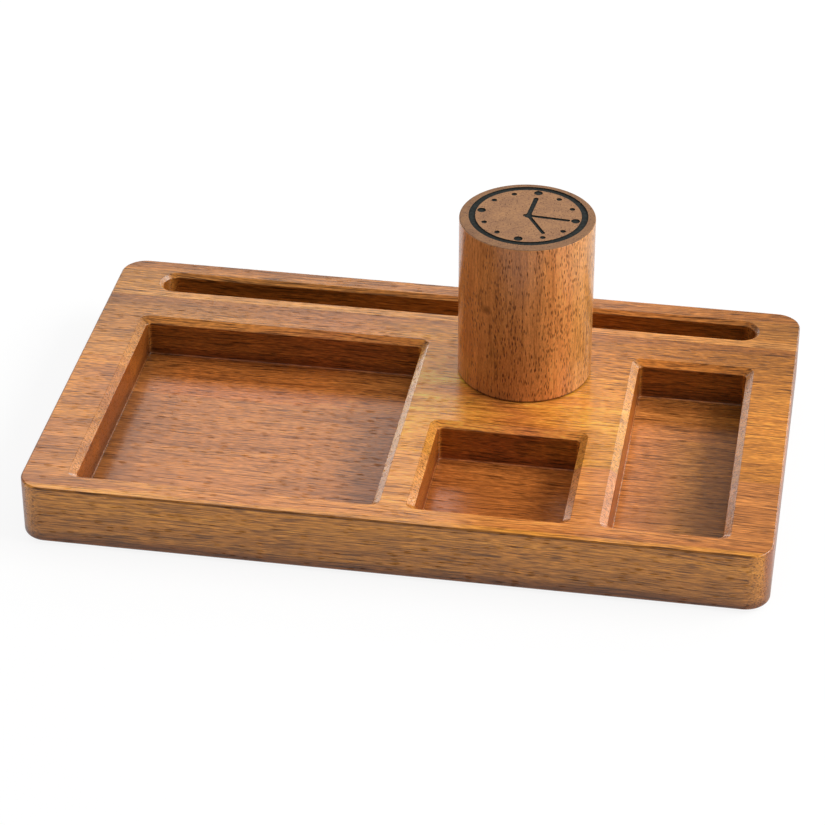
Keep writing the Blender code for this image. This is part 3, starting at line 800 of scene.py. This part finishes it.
def sanded_end_grain():
    """Acacia end grain, sanded and left almost dry: matte grey brown, with pores as specks."""
    material, new = empty_material("acacia_sanded_end_grain")
    place = new("TexCoord")["Object"]
    specks = new("TexVoronoi", {"Vector": place, "Scale": 1 / END_PORE_SPACING})
    chance = new("SeparateColor", (specks["Color"],))[0]
    chance = new("Math", (chance, END_PORES_ABSENT), operation="GREATER_THAN")[0]
    speck = new("MapRange", (specks["Distance"], *END_PORE_EDGE, chance, 0.0))[0]
    cloud = new("TexNoise", {"Vector": place, "Scale": 1 / CLOUD_SIZE, "Detail": 5.0, "Roughness": 0.7})[0]
    cloud = new("MapRange", (cloud, 0.1, 0.8))[0]
    grit = new("TexNoise", {"Vector": place, "Scale": 1 / GRIT_SIZE, "Detail": 2.0})[0]
    cloud = new("Math", (grit, GRIT_SHARE, cloud), operation="MULTIPLY_ADD")[0]
    cloud = new("Math", (cloud, GRIT_SHARE / 2), operation="SUBTRACT", use_clamp=True)[0]
    tone = new("Mix", {0: cloud, 6: solid("#74503A"), 7: solid("#A87A50")}, data_type="RGBA")[2]
    outward = new("VectorMath", (place, (*POST_MIDDLE, POST_HIGH.z)), operation="DISTANCE")["Value"]
    pale = new("MapRange", (outward, *DIAL_RING, *DIAL_PALENESS))[0]
    tone = new("VectorMath", {0: tone, 3: pale}, operation="SCALE")[0]
    colour = new("Mix", {0: speck, 6: tone, 7: solid("#5E3A24")}, data_type="RGBA")[2]
    bump = new("Bump", {"Height": speck, "Strength": 0.3, "Distance": -0.04 * MM})[0]
    shader = new("BsdfPrincipled", {"Base Color": colour, "Roughness": 0.6, "Normal": bump, "IOR": 1.38})[0]
    new("OutputMaterial", {"Surface": shader})
    return material


def charred_acacia():
    """Acacia burnt by a laser: char, nearly black with a cool cast, dull and finely ridged."""
    material, new = empty_material("acacia_laser_charred")
    place = new("TexCoord")["Object"]
    ash = new("TexNoise", {"Vector": place, "Scale": 1 / ASH_SIZE, "Detail": 3.0})[0]
    ash = new("MapRange", (ash, 0.4, 0.8))[0]
    burn = (*bpy.context.scene.stand_shape.burn_colour, 1.0)
    colour = new("Mix", {0: ash, 6: burn, 7: solid("#343836")}, data_type="RGBA")[2]
    passes = new("TexWave", {"Vector": place, "Scale": 1 / LASER_PASS}, bands_direction="Y")[1]
    bump = new("Bump", {"Height": passes, "Strength": 0.3, "Distance": 0.03 * MM})[0]
    shader = new("BsdfPrincipled", {"Base Color": colour, "Roughness": 0.8, "Normal": bump, "IOR": 1.3})[0]
    new("OutputMaterial", {"Surface": shader})
    return material


def zinc_plated_steel():
    """Steel, zinc plated: pale metal, softly blurred by fine turning marks."""
    material, new = empty_material("steel_zinc_plated")
    place = new("TexCoord")["Object"]
    haze = new("TexNoise", {"Vector": place, "Scale": 1 / HAZE_SIZE, "Detail": 3.0})[0]
    colour = new("Mix", {0: haze, 6: solid("#B4B2AC"), 7: solid("#D2D0CA")}, data_type="RGBA")[2]
    rough = new("MapRange", (haze, 0.3, 0.7, 0.28, 0.42))[0]
    marks = new("TexNoise", {"Vector": place, "Scale": 1 / TURNING_MARK, "Detail": 1.0})[0]
    bump = new("Bump", {"Height": marks, "Strength": 0.15, "Distance": 0.01 * MM})[0]
    shader = new("BsdfPrincipled", {"Base Color": colour, "Roughness": rough, "Metallic": 1.0,
                                    "Normal": bump})[0]
    new("OutputMaterial", {"Surface": shader})
    return material


def moulded_rubber():
    """Rubber, moulded: near black and matte, with a fine pebbled skin."""
    material, new = empty_material("rubber_moulded")
    place = new("TexCoord")["Object"]
    dust = new("TexNoise", {"Vector": place, "Scale": 1 / DUST_SIZE, "Detail": 4.0})[0]
    colour = new("Mix", {0: dust, 6: solid("#1E1E1F"), 7: solid("#363637")}, data_type="RGBA")[2]
    pebble = new("TexVoronoi", {"Vector": place, "Scale": 1 / PEBBLE_SIZE})[0]
    bump = new("Bump", {"Height": pebble, "Strength": 0.4, "Distance": 0.04 * MM})[0]
    shader = new("BsdfPrincipled", {"Base Color": colour, "Roughness": 0.75, "Normal": bump})[0]
    new("OutputMaterial", {"Surface": shader})
    return material


class STAND_OT_staves(Operator):
    """Build the four staves of the glued panel"""

    bl_idname = "stand.staves"
    bl_label = "Tray staves"

    def execute(self, context):
        cutters = [
            pocket_cutter(name, box, (POCKET_CORNER, RIM_CORNER), RIM_CHAMFER, POCKET_STEPS)
            for name, box in POCKETS.items()
        ]
        slot_width = SLOT[3] - SLOT[2]
        slot_corners = (slot_width / 2 - SLOT_CHAMFER[0], slot_width / 2)
        cutters.append(pocket_cutter("slot", SLOT, slot_corners, SLOT_CHAMFER, CORNER_STEPS))
        cutters += hole_cutters()
        back_gap = 0.0
        for name, slot in STAVES.items():
            low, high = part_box(name)
            wood = solid_acacia(f"acacia_{name}", BOARDS[name])
            board = mesh_piece(name.replace("stave", "board"), panel_shape(), [wood])
            front_gap = GLUE_LINES.get(name, 0.0)
            front = low.y - HALF_FRAME_GAP + front_gap / 2 if front_gap else low.y - CUT_PAST
            back = high.y + HALF_FRAME_GAP - back_gap / 2 if back_gap else high.y + CUT_PAST
            sides = (TRAY_LOW.x - CUT_PAST, TRAY_HIGH.x + CUT_PAST)
            outline = rectangle_outline(sides, (front, back), 0.0, 1)
            levels = (TRAY_LOW.z - CUT_PAST, TRAY_HIGH.z + CUT_PAST)
            slab = mesh_piece("slab", stacked_shape([(outline, z) for z in levels]))
            cut(board, slab, "INTERSECT")
            for cutter in cutters:
                cut(board, cutter)
            settle(board)
            discard([slab])
            stand_in(board, name)
            back_gap = front_gap
        discard(cutters)
        return {"FINISHED"}


def place_on_dial(item, radius, turn):
    """Put a dial mark at a radius and a turn clockwise from twelve o'clock."""
    angle = DIAL_TURN + turn
    item.location = (POST_MIDDLE[0] + DIAL_OFF_MIDDLE[0] + radius * math.sin(angle),
                     POST_MIDDLE[1] + DIAL_OFF_MIDDLE[1] + radius * math.cos(angle), 0.0)
    item.rotation_euler = (0.0, 0.0, -angle)


def dial_cutters():
    """The ring, the hour dots and the hands."""
    levels = (POST_HIGH.z - DIAL_DEPTH, POST_HIGH.z + CUT_PAST)
    ring = mesh_piece("dial_ring", ring_shape(*DIAL_RING, *levels, POST_SIDES))
    place_on_dial(ring, 0.0, 0.0)
    cutters = [ring]
    for hour in range(HOURS):
        radius, inset = HOUR_DOT if hour % 3 else QUARTER_DOT
        dot = mesh_piece(f"dial_dot_{hour}", turned_shape([(radius, z) for z in levels], DOT_SIDES))
        place_on_dial(dot, DIAL_RING[0] - inset, 2 * math.pi * hour / HOURS)
        cutters.append(dot)
    hub = mesh_piece("dial_hub", turned_shape([(HUB_RADIUS, z) for z in levels], DOT_SIDES))
    place_on_dial(hub, 0.0, 0.0)
    hands = []
    for number, (width, length, tail, turn) in enumerate(HANDS):
        outline = rectangle_outline((-width / 2, width / 2), (-tail, length), width / 2, POCKET_STEPS)
        hand = mesh_piece(f"dial_hand_{number}", stacked_shape([(outline, z) for z in levels]))
        place_on_dial(hand, 0.0, turn)
        hands.append(hand)
        cut(hub, hand, "UNION")
    settle(hub)
    hub.modifiers.clear()
    discard(hands)
    cutters.append(hub)
    return cutters


class STAND_OT_post(Operator):
    """Build the turned post with its dial"""

    bl_idname = "stand.post"
    bl_label = "Watch post"

    def execute(self, context):
        sides = eased_sides(POST_LOW.z, POST_HIGH.z, POST_EASE, POST_EASE)
        shape = turned_shape([(POST_RADIUS - inset, z) for inset, z in sides], POST_SIDES)
        wood = solid_acacia("acacia_post", POST_BOARD, upright=True)
        bmesh.ops.translate(shape, verts=shape.verts, vec=(*POST_MIDDLE, 0.0))
        post = mesh_piece("turned_post", shape, [wood, sanded_end_grain(), charred_acacia()])
        cutters = dial_cutters() + hole_cutters()
        for cutter in cutters:
            cut(post, cutter)
        settle(post)
        discard(cutters)
        side, end_grain, char = range(3)
        for face in post.data.polygons:
            depth = POST_HIGH.z - face.center.z
            from_middle = (face.center.xy - Vector(POST_MIDDLE)).length
            in_mark = MARK_TOLERANCE < depth < DIAL_DEPTH + MARK_TOLERANCE
            if in_mark and from_middle < POST_RADIUS - POST_EASE - MARK_EDGE_MARGIN:
                face.material_index = char
            elif depth < END_GRAIN_DEPTH:
                face.material_index = end_grain
            else:
                face.material_index = side
        stand_in(post, "watch_post")
        return {"FINISHED"}


def thread_outline(rise):
    """Outline of the threaded shaft at a rise, with the thread run out at both ends."""
    left = SCREW_THREAD_LENGTH - rise
    core = SCREW_TIP_RADIUS + (SCREW_CORE_RADIUS - SCREW_TIP_RADIUS) * min(1.0, left / SCREW_TIP)
    run_out = max(0.0, min(1.0, rise / SCREW_PITCH, left / SCREW_TIP))
    height = (SCREW_THREAD_RADIUS - SCREW_CORE_RADIUS) * run_out
    points = []
    for side, (x, y) in enumerate(circle_outline(1.0, SCREW_SIDES)):
        phase = (rise / SCREW_PITCH - side / SCREW_SIDES) % 1.0
        radius = core + height * max(0.0, 1 - abs(2 * phase - 1) * THREAD_STEEPNESS)
        points.append((radius * x, radius * y))
    return points


def cross_outline(scale):
    """A cross with square arms, anticlockwise."""
    arm = CROSS_ARM / 2 * scale
    reach = CROSS_SPAN / 2 * scale
    quarter = ((reach, -arm), (reach, arm), (arm, arm))
    points = []
    for turn in range(4):
        cosine, sine = round(math.cos(math.pi / 2 * turn)), round(math.sin(math.pi / 2 * turn))
        points += [(x * cosine - y * sine, x * sine + y * cosine) for x, y in quarter]
    return points


class STAND_OT_screws(Operator):
    """Build the two screws that hold the post"""

    bl_idname = "stand.screws"
    bl_label = "Post screws"

    def execute(self, context):
        material = zinc_plated_steel()
        for name in SCREWS:
            low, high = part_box(name)
            head_radius = (high.x - low.x) / 2
            bearing = low.z + SCREW_HEAD_HEIGHT
            shaft_top = high.z - SCREW_THREAD_LENGTH
            profile = [(head_radius - inset, low.z + rise) for inset, rise in quarter_round(SCREW_HEAD_CROWN)]
            profile += [(head_radius, bearing), (SCREW_SHANK_RADIUS, bearing)]
            profile.append((SCREW_SHANK_RADIUS, shaft_top))
            levels = [(circle_outline(radius, SCREW_SIDES), z) for radius, z in profile]
            rows = round(SCREW_THREAD_LENGTH / SCREW_PITCH * THREAD_ROWS_PER_TURN)
            rises = [SCREW_THREAD_LENGTH * row / rows for row in range(1, rows + 1)]
            levels += [(thread_outline(rise), shaft_top + rise) for rise in rises]
            screw = mesh_piece(name.replace("post_screw", "wood_screw"), stacked_shape(levels), [material])
            recess = mesh_piece("recess", stacked_shape([
                (cross_outline(1.0), low.z - CUT_PAST),
                (cross_outline(1.0), low.z),
                (cross_outline(CROSS_TAPER), low.z + CROSS_DEPTH),
            ]))
            cut(screw, recess)
            settle(screw)
            discard([recess])
            screw.location = (*middle_of(name), 0.0)
            stand_in(screw, name)
        return {"FINISHED"}


class STAND_OT_pads(Operator):
    """Build the four pads under the tray"""

    bl_idname = "stand.pads"
    bl_label = "Foot pads"

    def execute(self, context):
        material = moulded_rubber()
        for name in PADS:
            low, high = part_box(name)
            radius = (high.x - low.x) / 2
            sides = eased_sides(low.z, high.z, PAD_ROUND, PAD_ROUND)
            shape = turned_shape([(radius - inset, z) for inset, z in sides], PAD_SIDES)
            bmesh.ops.translate(shape, verts=shape.verts, vec=(*middle_of(name), 0.0))
            pad = mesh_piece(name.replace("foot_pad", "rubber_pad"), shape, [material])
            settle(pad)
            stand_in(pad, name)
        return {"FINISHED"}


# Paper floor: its size, how brightly it glows where it is seen, what it then keeps of the light on it, for
# the shadow, and what it throws back on the object
FLOOR_REACH = 4.0
PAPER_GLOW = 0.88
PAPER_SHADOW = 0.13
PAPER_WHITE = 0.85


def shadow_floor_material():
    """Matte white paper: white to the camera and in reflections, where it keeps the shadow.

    Light that it throws back on the object is that of plain paper.
    """
    material, new = empty_material("paper_matte_white")
    path = new("LightPath")
    seen = new("Math", (path["Is Camera Ray"], path["Is Glossy Ray"]), operation="MAXIMUM")[0]
    seen = new("Math", (seen, path["Is Transmission Ray"]), operation="MAXIMUM")[0]
    glow = new("Emission", {"Color": (1.0, 1.0, 1.0, 1.0), "Strength": PAPER_GLOW})[0]
    paper, plain = (new("BsdfDiffuse", {"Color": (grey, grey, grey, 1.0)})[0]
                    for grey in (PAPER_SHADOW, PAPER_WHITE))
    white = new("AddShader", (glow, paper))[0]
    shader = new("MixShader", (seen, plain, white))[0]
    new("OutputMaterial", {"Surface": shader})
    return material


# Sky: how far up its light starts and is full, and what share of it is left below; then the same for the
# sky that reflections see, which is white below, with its strength above
SKY_LIGHT = (0.3, 0.8, 0.15)
SKY_MIRRORED = (0.15, 0.4, 0.25)
# Soft boxes: azimuth from +X and elevation in degrees, distance, width and height in metres, and radiance
KEY_BOX = (8, 38, 3.0, 2.2, 1.3)
SOFT_BOXES = {
    "rear_strip": (88, 5, 1.8, 3.0, 0.30, 3.0),
    "rear_left_box": (114, 34.5, 1.6, 1.1, 0.30, 2.0),
    "rear_right_box": (50, 26, 1.6, 0.74, 0.26, 6.2),
}


def toward(azimuth, elevation):
    """The direction of a place in the sky, given in degrees."""
    azimuth, elevation = math.radians(azimuth), math.radians(elevation)
    level = math.cos(elevation)
    return Vector((math.cos(azimuth) * level, math.sin(azimuth) * level, math.sin(elevation)))


def hang_soft_box(name, azimuth, elevation, distance, width, height, radiance):
    """Hang a soft box out from the tray and turn it to the tray."""
    light = bpy.data.lights.new(name, "AREA")
    light.shape = "RECTANGLE"
    light.size, light.size_y = width, height
    light.energy = radiance * math.pi * width * height
    lamp = bpy.data.objects.new(name, light)
    bpy.context.scene.collection.objects.link(lamp)
    direction = toward(azimuth, elevation)
    lamp.location = direction * distance
    lamp.rotation_euler = direction.to_track_quat("Z", "Y").to_euler()


class STAND_OT_stage(Operator):
    """Set up the floor, the light and the camera"""

    bl_idname = "stand.stage"
    bl_label = "Stage"

    def execute(self, context):
        scene = context.scene
        look = scene.stand_stage
        shape = bmesh.new()
        bmesh.ops.create_grid(shape, x_segments=1, y_segments=1, size=FLOOR_REACH)
        floor = mesh_piece("floor", shape, [shadow_floor_material()])
        floor.location.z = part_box(PADS[0])[0].z

        # White behind the object and near the horizon; the upper part of the studio is dark to reflections
        world = bpy.data.worlds.new("studio")
        scene.world = world
        world.use_nodes = True
        tree = world.node_tree
        tree.nodes.clear()
        new = functools.partial(add_node, tree)
        path = new("LightPath")
        sky = new("TexCoord")["Generated"]
        up = new("SeparateXYZ", (sky,))[2]
        start, full, share = SKY_LIGHT
        even = new("MapRange", (up, start, full, share * look.ambient, look.ambient))[0]
        start, full, above = SKY_MIRRORED
        mirrored = new("MapRange", (up, start, full, 1.0, above))[0]
        reflected = new("Math", (path["Is Glossy Ray"], path["Is Transmission Ray"]), operation="MAXIMUM")[0]
        strength = new("Mix", {0: reflected, 2: even, 3: mirrored})[0]
        strength = new("Mix", {0: path["Is Camera Ray"], 2: strength, 3: 1.0})[0]
        light = new("Background", {"Color": (1.0, 1.0, 1.0, 1.0), "Strength": strength})[0]
        new("OutputWorld", {"Surface": light})

        hang_soft_box("key", *KEY_BOX, look.key_strength)
        for name, settings in SOFT_BOXES.items():
            hang_soft_box(name, *settings)

        camera = bpy.data.cameras.new("camera")
        camera.lens = CAMERA_LENS
        camera.sensor_width = CAMERA_SENSOR
        viewer = bpy.data.objects.new("camera", camera)
        scene.collection.objects.link(viewer)
        viewer.location = CAMERA_PLACE
        viewer.rotation_euler = CAMERA_TURN
        scene.camera = viewer
        scene.view_settings.view_transform = "Standard"
        return {"FINISHED"}


class STAND_PT_panel(Panel):
    """Lists the steps that build the stand"""

    bl_idname = "STAND_PT_panel"
    bl_label = "Watch stand"
    bl_space_type = "VIEW_3D"
    bl_region_type = "UI"
    bl_category = "Watch stand"

    def draw(self, context):
        scene = context.scene
        for group in (scene.stand_shape, scene.stand_wood, scene.stand_stage):
            box = self.layout.box()
            for name in group.__annotations__:
                box.prop(group, name)
        for step in STEPS:
            self.layout.operator(step.bl_idname)


STEPS = (STAND_OT_staves, STAND_OT_post, STAND_OT_screws, STAND_OT_pads, STAND_OT_stage)
GROUPS = {"stand_wood": StandWood, "stand_shape": StandShape, "stand_stage": StandStage}


def register():
    for group in GROUPS.values():
        bpy.utils.register_class(group)
    for name, group in GROUPS.items():
        setattr(bpy.types.Scene, name, PointerProperty(type=group))
    for step in (*STEPS, STAND_PT_panel):
        bpy.utils.register_class(step)


def unregister():
    for step in (STAND_PT_panel, *reversed(STEPS)):
        bpy.utils.unregister_class(step)
    for name, group in reversed(GROUPS.items()):
        delattr(bpy.types.Scene, name)
        bpy.utils.unregister_class(group)


def main():
    """Build every piece."""
    register()
    bpy.ops.stand.staves()
    bpy.ops.stand.post()
    bpy.ops.stand.screws()
    bpy.ops.stand.pads()
    bpy.ops.stand.stage()
    bpy.context.view_layer.update()


if __name__ == "__main__":
    main()
